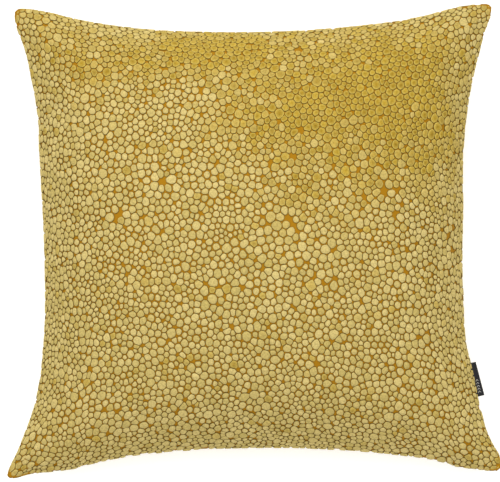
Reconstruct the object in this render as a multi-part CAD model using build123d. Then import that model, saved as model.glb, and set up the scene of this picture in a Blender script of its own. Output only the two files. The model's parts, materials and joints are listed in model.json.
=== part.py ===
from build123d import *
from math import atan, comb, degrees
import os

# Throw pillow: a square zipped cover over a filled pad, lying on its back.
# +X is the right-hand side, +Y the top edge, +Z the front; the origin is under the middle.

# Cover outline in the seam plane
BOTTOM_WIDTH = 455.0
TOP_WIDTH = 439.0
HEIGHT = 434.0         # at either side seam; the two are a little out of step
TILT = 2.6             # rise of the top and bottom seams' right ends, and fall of their left ends
SIDE_PINCH = 31.0      # how far each side seam draws in between the corners
TOP_PINCH = 24.5
BOTTOM_PINCH = 25.5
LEFT_ROUND = 0.45      # 1 for a parabola, less for a seam that is straighter in its middle
RIGHT_ROUND = 0.85
LEFT_LEAN = 12.0       # the left-hand seam bows out above its middle and in below it

# Heights
SEAM_Z = 66.0          # seam plane above the surface that the pillow lies on
FRONT_CROWN = 80.0     # front panel above the seam plane
BACK_CROWN = 78.0      # back panel below it, before it flattens on the surface
PROFILE = {0: 1.0, 2: -0.5, 4: -0.12, 12: -0.38}  # crown against distance: nearly half an ellipse
DEGREE = 12

# Cloth
CLOTH = 1.2            # velvet panels
CASING = 0.5           # pad casing
ALLOWANCE = 8.5        # seam allowance turned inside the cover
MID_REACH = 191.0      # centre to the nearest seam, which turns an inset into a scale
PAD_INSET = 10.6
PAD_GAP = 1.0          # between the cover and the pad at the crown
FILL_GAP = 0.3         # between the casing and the filling

# Seam threads lie on the seam allowances
THREAD = 0.5
THREAD_INSET = 3.6
THREAD_ACROSS = 0.925  # the slope from the middle to the threads' ends, short of the corners
THREAD_UP = 0.88

# Zip, set in the bottom seam, which bows about a far centre
ZIP_RADIUS = (BOTTOM_WIDTH / 2) ** 2 / (2 * BOTTOM_PINCH)
ZIP_CENTRE_X = TILT / (2 * BOTTOM_PINCH) * BOTTOM_WIDTH / 2
ZIP_CENTRE_Y = -(HEIGHT / 2 - BOTTOM_PINCH - TILT ** 2 / (4 * BOTTOM_PINCH)) - ZIP_RADIUS
SLOT_HALF = 170.0      # half the slot's length along the seam
SLOT_LIP = 4.3         # half the slot's opening
SLOT_CLEAR = 2.0       # from the slot's end to the seam thread
FACING_DEPTH = 5.7     # cloth turned in at the slot, then up along the tape
FACING_TOP = 8.5
CHAIN_DEPTH = 6.0      # middle of the tapes and teeth, in from the seam
TAPE_HALF = 177.0
TAPE_THICKNESS = 0.6
TAPE_EDGE = 2.4        # where each tape starts, away from the seam plane
TAPE_TOP = 10.5
TAPE_ROOM = 0.6        # between the tape and the panel over it
STITCH_LINE = 5.0
TOOTH_PITCH = 3.0
TOOTH_LENGTH = 1.3
TOOTH_THICKNESS = 2.0
TOOTH_REACH = 0.9      # how far a tooth passes the seam plane
CHAIN_START = -154.0
CHAIN_END = 160.0
TOP_STOP_PLACE = 166.5
BOTTOM_STOP_PLACE = -156.5
STOP_LENGTH = 2.0
STOP_ROUND = 0.4

# Slider and pull tab
SLIDER_PLACE = 160.0   # closed, at the right-hand end
SLIDER_OPEN = -150.0   # open, where the tab lying flat still has room in the slot
SLIDER_LENGTH = 9.0
SLIDER_WIDTH = 7.6
SLIDER_THICKNESS = 4.6
PLATE = 1.0
PLATE_ROUND = 1.4
FLANGE = 1.0
FLANGE_SHORT = 3.0     # flanges shorter than the plates
WEDGE = [(1.4, 0.0), (3.0, 0.9), (4.2, 0.6), (4.2, -0.6), (3.0, -0.9)]
TAPE_SLIT = 1.1
BAIL_WIDTH = 1.2
BAIL_BAR = 0.9
BAIL_FOOT = 0.8
BAIL_LENGTH = 5.2
BAIL_ROUND = 0.5
PIVOT_GAP = 1.3        # between the slider's plate and its bail
TAB_LENGTH = 18.0
TAB_WIDTH = 5.0
TAB_THICKNESS = 1.0
TAB_WINDOW = 3.8
TAB_WINDOW_WIDTH = 2.2
TAB_WINDOW_START = 0.3
TAB_EYE = 1.2

# Labels
LABEL_LENGTH = 32.0    # along the right-hand seam
LABEL_SHOWING = 7.0
LABEL_HIDDEN = 6.0
LABEL_LEAF = 0.5
LABEL_THICKNESS = 1.2
LABEL_Y = -129.0
CARE_WIDTH = 28.0
CARE_LENGTH = 46.0
CARE_THICKNESS = 0.3
CARE_GAP = 0.2
CARE_X = 120.0
CARE_Y = -120.0

# Extra size of the shapes that cut others
SPARE = 0.1
OVERSIZE = 1.2


def seam_shapes():
    """Distance of each seam from the middle, as powers of the place along it, from -1 to 1."""
    mean = (BOTTOM_WIDTH + TOP_WIDTH) / 4
    taper = (TOP_WIDTH - BOTTOM_WIDTH) / 4
    drawn_in = mean - SIDE_PINCH
    left = {0: drawn_in, 1: taper, 2: SIDE_PINCH * LEFT_ROUND, 4: SIDE_PINCH * (1 - LEFT_ROUND)}
    left[1] += LEFT_LEAN
    left[3] = -LEFT_LEAN
    right = {0: drawn_in, 1: taper, 2: SIDE_PINCH * RIGHT_ROUND, 4: SIDE_PINCH * (1 - RIGHT_ROUND)}
    top = {0: HEIGHT / 2 - TOP_PINCH, 1: TILT, 2: TOP_PINCH}
    bottom = {0: HEIGHT / 2 - BOTTOM_PINCH, 1: -TILT, 2: BOTTOM_PINCH}
    return left, right, top, bottom


def control_values(powers):
    """The Bezier control values of a polynomial given by its powers, over -1 to 1."""
    values = []
    for i in range(DEGREE + 1):
        total = 0
        for power, factor in powers.items():
            terms = [(-1) ** m * comb(i, power - m) * comb(DEGREE - i, m) for m in range(power + 1)]
            total += factor * sum(terms) / comb(DEGREE, power)
        values.append(total)
    return values


def crowned_face(inset, crown):
    """Curved face spanning the seams, drawn in by inset; a negative crown points down."""
    scale = 1 - inset / MID_REACH
    left, right, top, bottom = [control_values(shape) for shape in seam_shapes()]
    profile = control_values(PROFILE)
    rows = []
    for i in range(DEGREE + 1):
        row = []
        for j in range(DEGREE + 1):
            x = (i * right[j] - (DEGREE - i) * left[j]) / DEGREE
            y = (j * top[i] - (DEGREE - j) * bottom[i]) / DEGREE
            row.append(Vector(scale * x, scale * y, SEAM_Z + crown * profile[i] * profile[j]))
        rows.append(row)
    return Face.make_bezier_surface(rows)


def outline_face(inset):
    """Flat face in the seam plane, bounded by the seams drawn in by inset."""
    return Face(Wire(crowned_face(inset, FRONT_CROWN).edges()))


def above_floor(clearance):
    """Block over everything that is this far or more above the surface the pillow lies on."""
    height = 2 * SEAM_Z
    return Pos(0, 0, clearance + height) * Box(BOTTOM_WIDTH * OVERSIZE, HEIGHT * OVERSIZE, 2 * height)


def half_body(inset, crown_loss, side):
    """Front (+1) or back (-1) half, drawn in by inset and lowered by crown_loss."""
    if side > 0:
        crowned = crowned_face(inset, FRONT_CROWN - crown_loss)
        return Solid(Shell([crowned, outline_face(inset)]))
    crowned = crowned_face(inset, crown_loss - BACK_CROWN)
    return Solid(Shell([crowned, outline_face(inset)])) & above_floor(crown_loss)


def whole_body(inset, crown_loss):
    """Front and back halves as one solid."""
    front = crowned_face(inset, FRONT_CROWN - crown_loss)
    back = crowned_face(inset, crown_loss - BACK_CROWN)
    return Solid(Shell([front, back])) & above_floor(crown_loss)


def prism(inset, low, high):
    """Upright solid with the cover's outline drawn in by inset."""
    base = Pos(0, 0, low - SEAM_Z) * outline_face(inset)
    return extrude(base, amount=high - low, dir=(0, 0, 1))


def at_station(station):
    """Frame that follows the bottom seam: x along it, y from the far centre, z off the seam plane."""
    turn = Rot(0, 0, -degrees(station / ZIP_RADIUS))
    return Pos(ZIP_CENTRE_X, ZIP_CENTRE_Y, SEAM_Z) * turn


def seam_bar(depth, thickness, low, high, start, end):
    """Bar that follows the bottom seam, from a depth inside it."""
    middle = ZIP_RADIUS + depth + thickness / 2
    section = Plane.YZ * Pos(middle, (low + high) / 2) * Rectangle(thickness, high - low)
    turned = at_station(start) * section
    axis = Axis((ZIP_CENTRE_X, ZIP_CENTRE_Y, 0), (0, 0, -1))
    return revolve(turned, axis=axis, revolution_arc=degrees((end - start) / ZIP_RADIUS))


def mirrored(low, high, side):
    """A span of heights off the seam plane, on the front or the back."""
    return (low, high) if side > 0 else (-high, -low)


def label_place():
    """Middle of the woven label on the right-hand seam, and the seam's lean there."""
    right = seam_shapes()[1]
    place = (LABEL_Y - TILT) / (HEIGHT / 2)
    x = sum(factor * place ** power for power, factor in right.items())
    slope = sum(power * factor * place ** (power - 1) for power, factor in right.items() if power)
    return Pos(x, LABEL_Y, SEAM_Z) * Rot(0, 0, -degrees(atan(slope / (HEIGHT / 2))))


def label_envelope():
    """Space that the folded label takes, fold outward, as a rounded slab."""
    length = LABEL_SHOWING + LABEL_HIDDEN
    flat = length - LABEL_THICKNESS / 2
    slab = Pos(flat / 2 - LABEL_HIDDEN, 0, 0) * Box(flat, LABEL_LENGTH, LABEL_THICKNESS)
    fold = Rot(90, 0, 0) * Cylinder(LABEL_THICKNESS / 2, LABEL_LENGTH)
    fold = Pos(flat - LABEL_HIDDEN, 0, 0) * fold
    return label_place() * (slab + fold)


def woven_label():
    """Folded tape: two leaves joined by the fold, with a slit between them."""
    length = LABEL_SHOWING + LABEL_HIDDEN
    slit = LABEL_THICKNESS - 2 * LABEL_LEAF
    depth = length - LABEL_THICKNESS / 2
    gap = Pos(depth / 2 - LABEL_HIDDEN, 0, 0) * Box(depth, LABEL_LENGTH, slit)
    return label_envelope() - label_place() * gap


def slot_cut(half_length):
    """Bar that cuts right through the bottom seam, as high as the zip's slot."""
    return seam_bar(-ALLOWANCE, 3 * ALLOWANCE, -SLOT_LIP, SLOT_LIP, -half_length, half_length)


def cover_panel(side):
    """Velvet panel: crowned shell, seam allowance, and the facing turned in at the zip."""
    outer = half_body(0, 0, side)
    hollow = half_body(CLOTH, CLOTH, side)
    low, high = mirrored(0, CLOTH, side)
    layer = Box(BOTTOM_WIDTH * OVERSIZE, HEIGHT * OVERSIZE, CLOTH)
    hollow = hollow - Pos(0, 0, SEAM_Z + (low + high) / 2) * layer
    middle = prism(ALLOWANCE, SEAM_Z + low - SPARE, SEAM_Z + high + SPARE)
    panel = outer - hollow - middle - slot_cut(SLOT_HALF)
    low, high = mirrored(SLOT_LIP, SLOT_LIP + CLOTH, side)
    turned_in = seam_bar(0, FACING_DEPTH, low, high, -SLOT_HALF, SLOT_HALF)
    low, high = mirrored(SLOT_LIP, FACING_TOP, side)
    turned_up = seam_bar(FACING_DEPTH - CLOTH, CLOTH, low, high, -SLOT_HALF, SLOT_HALF)
    facing = (turned_in + turned_up) & outer
    return panel + facing - label_envelope()


def seam_wedge(name):
    """Sector of the plan that holds one seam and stops short of its corners."""
    reach = BOTTOM_WIDTH
    across = reach * THREAD_ACROSS
    up = reach * THREAD_UP
    ends = {
        "top": [(across, reach), (-across, reach)],
        "bottom": [(-across, -reach), (across, -reach)],
        "left": [(-reach, up), (-reach, -up)],
        "right": [(reach, -up), (reach, up)],
    }[name]
    return extrude(Polygon((0, 0), *ends, align=None), amount=2 * SEAM_Z)


def seam_thread(name):
    """Needle and bobbin threads of one seam, one on each seam allowance."""
    threads = []
    for side in (1, -1):
        low, high = mirrored(CLOTH, CLOTH + THREAD, side)
        ring = prism(THREAD_INSET, SEAM_Z + low, SEAM_Z + high)
        ring = ring - prism(THREAD_INSET + THREAD, SEAM_Z + low - SPARE, SEAM_Z + high + SPARE)
        thread = ring & seam_wedge(name)
        if name == "bottom":
            thread = thread - slot_cut(SLOT_HALF + SLOT_CLEAR)
        threads += thread.solids()
    return Compound(threads)


def zip_tape(side):
    """Woven tape of the zip, trimmed to the room under the panel."""
    low, high = mirrored(TAPE_EDGE, TAPE_TOP, side)
    start = CHAIN_DEPTH - TAPE_THICKNESS / 2
    tape = seam_bar(start, TAPE_THICKNESS, low, high, -TAPE_HALF, TAPE_HALF)
    return tape & half_body(CLOTH + TAPE_ROOM, CLOTH + TAPE_ROOM, side)


def zip_stitching(side):
    """Thread that holds a tape to its facing, on the tape's inner face."""
    low, high = mirrored(STITCH_LINE, STITCH_LINE + THREAD, side)
    start = CHAIN_DEPTH + TAPE_THICKNESS / 2
    return seam_bar(start, THREAD, low, high, 1 - SLOT_HALF, SLOT_HALF - 1)


def zip_teeth(side):
    """Row of teeth on the edge of one tape; the two rows interleave."""
    offset = 0 if side > 0 else TOOTH_PITCH / 2
    low, high = mirrored(-TOOTH_REACH, TAPE_EDGE, side)
    teeth = []
    station = CHAIN_START + offset
    while station < CHAIN_END:
        block = Box(TOOTH_LENGTH, TOOTH_THICKNESS, high - low)
        middle = Pos(0, ZIP_RADIUS + CHAIN_DEPTH, (low + high) / 2)
        teeth.append(at_station(station) * middle * block)
        station += TOOTH_PITCH
    return Compound(teeth)


def zip_top_stops():
    """One stop on each tape's edge, beyond the closed slider."""
    stops = []
    for side in (1, -1):
        low, high = mirrored(TAPE_EDGE / 2, TAPE_EDGE, side)
        block = Box(STOP_LENGTH, TOOTH_THICKNESS, high - low)
        middle = Pos(0, ZIP_RADIUS + CHAIN_DEPTH, (low + high) / 2)
        stops.append(at_station(TOP_STOP_PLACE) * middle * block)
    return Compound(stops)


def zip_bottom_stop():
    """Staple that joins both tapes at the start of the chain."""
    block = Box(STOP_LENGTH, TOOTH_THICKNESS, 2 * TAPE_EDGE)
    block = fillet(block.edges().filter_by(Axis.X), STOP_ROUND)
    return at_station(BOTTOM_STOP_PLACE) * Pos(0, ZIP_RADIUS + CHAIN_DEPTH, 0) * block


def zip_slider():
    """Two plates with tape flanges, the wedge between them, and the bail outside."""
    plate = Box(SLIDER_LENGTH, PLATE, SLIDER_WIDTH)
    plate = fillet(plate.edges().filter_by(Axis.Y), PLATE_ROUND)
    from_middle = (SLIDER_THICKNESS - PLATE) / 2
    flange_depth = (SLIDER_THICKNESS - 2 * PLATE - TAPE_SLIT) / 2
    flange = Box(SLIDER_LENGTH - FLANGE_SHORT, flange_depth, FLANGE)
    body = Pos(0, from_middle, 0) * plate + Pos(0, -from_middle, 0) * plate
    for side in (1, -1):
        for face in (1, -1):
            depth = face * (TAPE_SLIT + flange_depth) / 2
            body += Pos(0, depth, side * (SLIDER_WIDTH - FLANGE) / 2) * flange
    gap = SLIDER_THICKNESS - 2 * PLATE
    wedge = extrude(Plane.XZ * Polygon(*WEDGE, align=None), amount=gap / 2, both=True)
    outside = -SLIDER_THICKNESS / 2
    bar = Pos(0, outside - PIVOT_GAP - BAIL_BAR / 2, 0) * Box(BAIL_LENGTH, BAIL_BAR, BAIL_WIDTH)
    bar = fillet(bar.edges().filter_by(Axis.Z).sort_by(Axis.Y)[:2], BAIL_ROUND)
    bail = bar
    for end in (1, -1):
        foot = Box(BAIL_FOOT, PIVOT_GAP, BAIL_WIDTH)
        bail += Pos(end * (BAIL_LENGTH - BAIL_FOOT) / 2, outside - PIVOT_GAP / 2, 0) * foot
    return at_station(SLIDER_PLACE) * Pos(0, ZIP_RADIUS + CHAIN_DEPTH, 0) * (body + wedge + bail)


def pivot_depth():
    """Depth of the pull tab's pivot, midway between the slider's plate and its bail."""
    return CHAIN_DEPTH - SLIDER_THICKNESS / 2 - PIVOT_GAP / 2


def zip_pull_tab():
    """Flat tab with a window for the bail; its end bar turns under the bail."""
    flat = TAB_LENGTH - TAB_WIDTH / 2
    tab = Pos(-flat / 2, 0, 0) * Box(flat, TAB_THICKNESS, TAB_WIDTH)
    tab += Pos(-flat, 0, 0) * Rot(90, 0, 0) * Cylinder(TAB_WIDTH / 2, TAB_THICKNESS)
    tab += Cylinder(TAB_THICKNESS / 2, TAB_WIDTH)
    window = Box(TAB_WINDOW, 2 * TAB_THICKNESS, TAB_WINDOW_WIDTH)
    tab -= Pos(-TAB_WINDOW_START - TAB_WINDOW / 2, 0, 0) * window
    tab -= Pos(-flat, 0, 0) * Rot(90, 0, 0) * Cylinder(TAB_EYE, 2 * TAB_THICKNESS)
    tab += Cylinder(TAB_THICKNESS / 2, TAB_WIDTH)
    return at_station(SLIDER_PLACE) * Pos(0, ZIP_RADIUS + pivot_depth(), 0) * tab


def care_label():
    """Thin label lying against the inside of the back panel."""
    depth = CLOTH + CARE_GAP
    shell = half_body(depth, depth, -1)
    shell -= half_body(depth + CARE_THICKNESS, depth + CARE_THICKNESS, -1)
    patch = Pos(CARE_X, CARE_Y, SEAM_Z / 2) * Rot(0, 0, 45) * Box(CARE_WIDTH, CARE_LENGTH, SEAM_Z)
    return shell & patch


def pad_casing(side):
    """Thin casing of the pad, open at the seam plane where it meets the other half."""
    loss = CLOTH + PAD_GAP
    return half_body(PAD_INSET, loss, side) - half_body(PAD_INSET + CASING, loss + CASING, side)


def pad_filling():
    """Filling, one body from front to back."""
    return whole_body(PAD_INSET + CASING + FILL_GAP, CLOTH + PAD_GAP + CASING + FILL_GAP)


def pad_seam_thread():
    """Overlock thread around the edge of the pad."""
    height = THREAD / 2
    inner = PAD_INSET - SPARE
    ring = prism(inner - THREAD, SEAM_Z - height, SEAM_Z + height)
    return ring - prism(inner, SEAM_Z - 2 * height, SEAM_Z + 2 * height)


parts = {
    "front_panel": cover_panel(1),
    "back_panel": cover_panel(-1),
    "woven_label": woven_label(),
    "care_label": care_label(),
    "zip_tape_front": zip_tape(1),
    "zip_tape_back": zip_tape(-1),
    "zip_teeth_front": zip_teeth(1),
    "zip_teeth_back": zip_teeth(-1),
    "zip_stitching_front": zip_stitching(1),
    "zip_stitching_back": zip_stitching(-1),
    "zip_top_stops": zip_top_stops(),
    "zip_bottom_stop": zip_bottom_stop(),
    "zip_slider": zip_slider(),
    "zip_pull_tab": zip_pull_tab(),
    "pad_casing_front": pad_casing(1),
    "pad_casing_back": pad_casing(-1),
    "pad_filling": pad_filling(),
    "pad_seam_thread": pad_seam_thread(),
}
for name in ("top", "left", "right", "bottom"):
    parts[name + "_seam_thread"] = seam_thread(name)

os.makedirs("parts", exist_ok=True)
for node, shape in parts.items():
    export_step(shape, f"parts/{node}.step")

pivot = at_station(SLIDER_PLACE) * Pos(0, ZIP_RADIUS + pivot_depth(), 0)
print("zip hinge at", round(ZIP_CENTRE_X, 3), round(ZIP_CENTRE_Y, 3), "radius", round(ZIP_RADIUS, 3))
print("zip travel degrees", round(degrees((SLIDER_PLACE - SLIDER_OPEN) / ZIP_RADIUS), 3))
print("tab pivot", pivot.position)
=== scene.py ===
import json
import math

import bpy
import numpy as np
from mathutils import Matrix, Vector, geometry


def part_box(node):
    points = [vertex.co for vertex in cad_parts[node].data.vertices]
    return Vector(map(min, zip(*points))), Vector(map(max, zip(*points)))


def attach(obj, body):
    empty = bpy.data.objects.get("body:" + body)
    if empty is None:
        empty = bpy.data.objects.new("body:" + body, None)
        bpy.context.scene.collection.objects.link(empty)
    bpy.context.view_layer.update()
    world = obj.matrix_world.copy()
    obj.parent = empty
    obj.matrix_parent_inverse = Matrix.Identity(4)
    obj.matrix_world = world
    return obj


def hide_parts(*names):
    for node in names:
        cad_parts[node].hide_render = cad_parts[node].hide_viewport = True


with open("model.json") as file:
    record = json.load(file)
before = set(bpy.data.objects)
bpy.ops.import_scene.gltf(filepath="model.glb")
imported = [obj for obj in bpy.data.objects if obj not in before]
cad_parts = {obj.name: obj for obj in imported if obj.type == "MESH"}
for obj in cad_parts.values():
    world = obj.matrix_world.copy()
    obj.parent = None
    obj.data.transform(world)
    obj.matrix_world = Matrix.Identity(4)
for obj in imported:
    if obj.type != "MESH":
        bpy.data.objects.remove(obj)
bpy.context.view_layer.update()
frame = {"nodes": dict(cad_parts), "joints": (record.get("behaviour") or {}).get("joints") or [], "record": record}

MM = 0.001

# Sizes read from the frame
PANEL_LOW, PANEL_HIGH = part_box("front_panel")
TILT = 2.6 * MM
HALF_WIDTH = PANEL_HIGH.x
HALF_HEIGHT = PANEL_HIGH.y - TILT
SEAM_Z = PANEL_LOW.z
FRONT_CROWN = PANEL_HIGH.z - SEAM_Z
LABEL_LOW, LABEL_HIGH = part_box("woven_label")
JOINTS = {joint["name"]: joint for joint in frame["joints"]}
ZIP_CENTRE = Vector(JOINTS["zip_travel"]["pos_m"])

# The cover's outline in the seam plane and its crown, as in the CAD model
BACK_CROWN = FRONT_CROWN - 2 * MM
TOP_SHARE = 439 / 455
SIDE_PINCH = 31 * MM
TOP_PINCH = 24.5 * MM
BOTTOM_PINCH = 25.5 * MM
LEFT_ROUND = 0.45
RIGHT_ROUND = 0.85
LEFT_LEAN = 12 * MM
CORNER_BLUNT = 2.8 * MM    # how far each corner's tip is drawn in
SLOT_SWELL = 1.6 * MM      # the zip's lips stand a little proud of the rest of the seam

# Where each sewn seam strays from its plain curve: place along it, spread, and distance outward
SEAM_BUMPS = {
    "left": [(0.93, 0.09, 4.0 * MM), (0.55, 0.12, -1.8 * MM),
             (-0.84, 0.12, 2.4 * MM), (-0.96, 0.06, 2.4 * MM)],
    "right": [(0.96, 0.06, 3.0 * MM), (0.85, 0.18, 2.4 * MM), (0.10, 0.18, 2.2 * MM),
              (-0.42, 0.10, -2.6 * MM), (-0.92, 0.10, 2.4 * MM), (-0.95, 0.06, 4.2 * MM)],
    "top": [(0.86, 0.12, 3.4 * MM), (-0.45, 0.18, -1.0 * MM), (-0.88, 0.13, 3.2 * MM)],
    "bottom": [(-0.97, 0.06, 2.2 * MM), (-0.74, 0.16, 4.4 * MM), (0.84, 0.13, 2.6 * MM)],
}

# Small folds that fan in from each corner: corner, height and phase
PUCKERS = [((-1, -1), 1.5 * MM, 0.4), ((1, -1), 0.8 * MM, 1.3),
           ((-1, 1), 0.8 * MM, 2.2), ((1, 1), 0.7 * MM, 0.9)]
PUCKER_PLACE = 0.12        # from the corner, as a share of half the side
PUCKER_SPREAD = 0.06
PUCKER_FADE = 0.02         # they die away over this share, beside a seam
PUCKER_TURNS = 13          # folds in a full turn about the corner
BLUNT_POWER = 64           # how close to the tip the blunting stays

# Cloth
CUT = 450 * MM             # each panel's cut side, seam to seam
CLOTH = 1.2 * MM
PILE = 1.4 * MM            # height of the pebbles of pile above the ground cloth
GROUND_DEPTH = 0.5 * MM    # ground cloth below the surface of the CAD cover
GRID = 64                  # cells across a simulated panel

# Zip, in the bottom seam
ZIP_RADIUS = (HALF_WIDTH * 2) ** 2 / (8 * BOTTOM_PINCH)
SLOT_HALF = 170 * MM
SLOT_FADE = 9 * MM
LIP = 4.3 * MM
CHAIN_DEPTH = 6 * MM
CHAIN_START = -154 * MM
CHAIN_END = 160 * MM
TAPE_HALF = 176 * MM
TOOTH_PITCH = 3 * MM

# Pebbles of pile
SPACING = 6.0 * MM
OVERRUN = 4 * MM           # pebbles laid out past the seams, where the cut goes through them
BARE_SHARE = 0.75          # chance that a place which may be bare shows a small spot of ground
BARE_RADIUS = 1.0 * MM
LAYOUT_STEPS = 28          # rounds of pushing the pebbles apart
BARE_STEP = 6              # round in which the bare spots are chosen
CORNER_PEBBLE = 1.8 * MM   # from a cut corner to the pebble that is held there
PUSH = 0.23                # share of a gap's error put right in a round
CLOSEST = 0.9 * MM         # least distance from a pebble's middle to its edge
EDGE_REACH = 1.6 * MM      # pebbles centred this little beyond the cut are kept
SIDES = 12
TALLER = 1.08              # pebbles are a little taller than wide


# ---------------------------------------------------------------- cover shape

def seam_reach(place, drawn_in, taper, pinch, roundness):
    """Distance of a seam from the middle at a place along it, from -1 to 1."""
    return drawn_in + taper * place + pinch * (roundness * place ** 2 + (1 - roundness) * place ** 4)


def profile(p):
    """Height of the crown, 1 in the middle and 0 at a seam."""
    return 1 - 0.5 * p ** 2 - 0.12 * p ** 4 - 0.38 * p ** 12


PROFILE_PLACES = np.linspace(0, 1, 4001)
PROFILE_HEIGHTS = profile(PROFILE_PLACES)


def place_at_height(height):
    """Where the profile has a height, from 0 in the middle to 1 at the seam."""
    return np.interp(height, PROFILE_HEIGHTS[::-1], PROFILE_PLACES[::-1])


def stray(seam, place):
    """How far outward a seam strays at a place along it."""
    bumps = SEAM_BUMPS[seam]
    return sum(height * np.exp(-((place - middle) / spread) ** 2) for middle, spread, height in bumps)


def crown_point(s, t, side):
    """Points of the cover for places s across and t up it, in the row frame."""
    mean = HALF_WIDTH * (1 + TOP_SHARE) / 2
    taper = HALF_WIDTH * (TOP_SHARE - 1) / 2
    left = seam_reach(t, mean - SIDE_PINCH, taper, SIDE_PINCH, LEFT_ROUND) + LEFT_LEAN * (t - t ** 3)
    right = seam_reach(t, mean - SIDE_PINCH, taper, SIDE_PINCH, RIGHT_ROUND)
    top = seam_reach(s, HALF_HEIGHT - TOP_PINCH, TILT, TOP_PINCH, 1)
    bottom = seam_reach(s, HALF_HEIGHT - BOTTOM_PINCH, -TILT, BOTTOM_PINCH, 1)
    left = left + stray("left", t)
    right = right + stray("right", t)
    top = top + stray("top", s)
    bottom = bottom + stray("bottom", s) + SLOT_SWELL * lip_height(s * HALF_WIDTH) / LIP
    x = (1 + s) / 2 * right - (1 - s) / 2 * left
    y = (1 + t) / 2 * top - (1 - t) / 2 * bottom
    crown = FRONT_CROWN if side > 0 else -BACK_CROWN
    z = np.maximum(SEAM_Z + crown * profile(s) * profile(t), 0)
    return np.stack([x, y, z], axis=-1)


def lip_height(x):
    """Half the opening of the cover along the bottom seam, for the zip."""
    share = np.clip((SLOT_HALF + SLOT_FADE - np.abs(x - ZIP_CENTRE.x)) / SLOT_FADE, 0, 1)
    return LIP * share * share * (3 - 2 * share)


def even_rows(along, across, side):
    """Places s and t of a grid whose cells are even along the cloth, down to the zip's lip."""
    crown = FRONT_CROWN if side > 0 else BACK_CROWN
    s = np.repeat(along[:, None], len(across), axis=1)
    t = np.repeat(across[None, :], len(along), axis=0)
    even_s = (along + 1) / 2
    even_t = (across + 1) / 2
    for _ in range(5):
        x = crown_point(s[:, 0], t[:, 0], side)[:, 0]
        lip = lip_height(x) / (crown * np.maximum(profile(s[:, 0]), 1e-3))
        low = -place_at_height(np.clip(lip, 0, 0.9))
        t[:, 0] = low
        points = crown_point(s, t, side)
        for j in range(s.shape[1]):
            run = np.r_[0, np.cumsum(np.linalg.norm(np.diff(points[:, j], axis=0), axis=1))]
            s[:, j] = np.interp(even_s * run[-1], run, s[:, j])
        points = crown_point(s, t, side)
        for i in range(t.shape[0]):
            run = np.r_[0, np.cumsum(np.linalg.norm(np.diff(points[i], axis=0), axis=1))]
            t[i] = np.interp(even_t * run[-1], run, t[i])
    return s, t


def normals(points, side):
    """Outward unit normals of a grid of points."""
    across = np.gradient(points, axis=0)
    up = np.gradient(points, axis=1)
    normal = np.cross(across, up) * side
    return normal / np.maximum(np.linalg.norm(normal, axis=-1, keepdims=True), 1e-12)


def ground_grid(side):
    """Rest grid of a panel's ground cloth, under its pile, and which of its points are on a seam."""
    places = np.linspace(-1, 1, GRID + 1)
    s, t = even_rows(places, places, side)
    points = crown_point(s, t, side)
    points = points - normals(points, side) * GROUND_DEPTH
    points[..., 2] = np.maximum(points[..., 2], PILE)
    edge = np.zeros(points.shape[:2], bool)
    edge[[0, -1], :] = True
    edge[:, [0, -1]] = True
    return points, edge


# ---------------------------------------------------------------- mesh helpers

def grid_faces(columns, rows, offset=0, flip=False):
    """Quads of a grid of points stored column by column."""
    index = np.arange(columns * rows).reshape(columns, rows) + offset
    quads = np.stack([index[:-1, :-1], index[1:, :-1], index[1:, 1:], index[:-1, 1:]], axis=-1)
    quads = quads.reshape(-1, 4)
    return quads[:, ::-1] if flip else quads


def rim_quads(columns, rows):
    """Quads that join the edges of two grids of points, one stored after the other."""
    count = columns * rows
    index = np.arange(count).reshape(columns, rows)
    loop = np.concatenate([index[:-1, 0], index[-1, :-1], index[:0:-1, -1], index[0, :0:-1]])
    after = np.roll(loop, -1)
    return np.stack([loop, loop + count, after + count, after], axis=-1)


def new_mesh(name, points, faces, uv=None):
    """Object from arrays: points, and faces as a list of arrays with one row per face."""
    mesh = bpy.data.meshes.new(name)
    loops = np.concatenate([np.asarray(part).ravel() for part in faces])
    sizes = np.concatenate([np.full(len(part), np.asarray(part).shape[1]) for part in faces])
    starts = np.r_[0, np.cumsum(sizes)[:-1]]
    mesh.vertices.add(len(points))
    mesh.vertices.foreach_set("co", np.asarray(points, np.float32).ravel())
    mesh.loops.add(len(loops))
    mesh.loops.foreach_set("vertex_index", loops.astype(np.int32))
    mesh.polygons.add(len(starts))
    mesh.polygons.foreach_set("loop_start", starts.astype(np.int32))
    mesh.polygons.foreach_set("use_smooth", np.ones(len(starts), bool))
    mesh.update(calc_edges=True)
    if uv is not None:
        layer = mesh.uv_layers.new(name="OFBake")
        layer.data.foreach_set("uv", np.asarray(uv, np.float32)[loops].ravel())
    piece = bpy.data.objects.new(name, mesh)
    bpy.context.scene.collection.objects.link(piece)
    return piece


def add_attribute(piece, name, values):
    """Number at each point, for the piece's material."""
    attribute = piece.data.attributes.new(name, "FLOAT", "POINT")
    attribute.data.foreach_set("value", np.asarray(values, np.float32))


def place_piece(piece, body, slot, material, *nodes):
    """Rides a piece on a body, gives it its finish, and hides the CAD nodes that it stands for."""
    piece.data.materials.clear()
    piece.data.materials.append(material)
    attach(piece, body)
    if nodes:
        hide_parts(*nodes)
    return piece


def finer(points):
    """Grid with a new point in the middle of each cell side, on a smooth curve."""
    for axis in (0, 1):
        p = np.moveaxis(points, axis, 0)
        before = np.concatenate([2 * p[:1] - p[1:2], p[:-2]])
        after = np.concatenate([p[2:], 2 * p[-1:] - p[-2:-1]])
        middle = (9 * (p[:-1] + p[1:]) - before - after) / 16
        out = np.empty((2 * len(p) - 1,) + p.shape[1:])
        out[0::2] = p
        out[1::2] = middle
        points = np.moveaxis(out, 0, axis)
    return points


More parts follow.
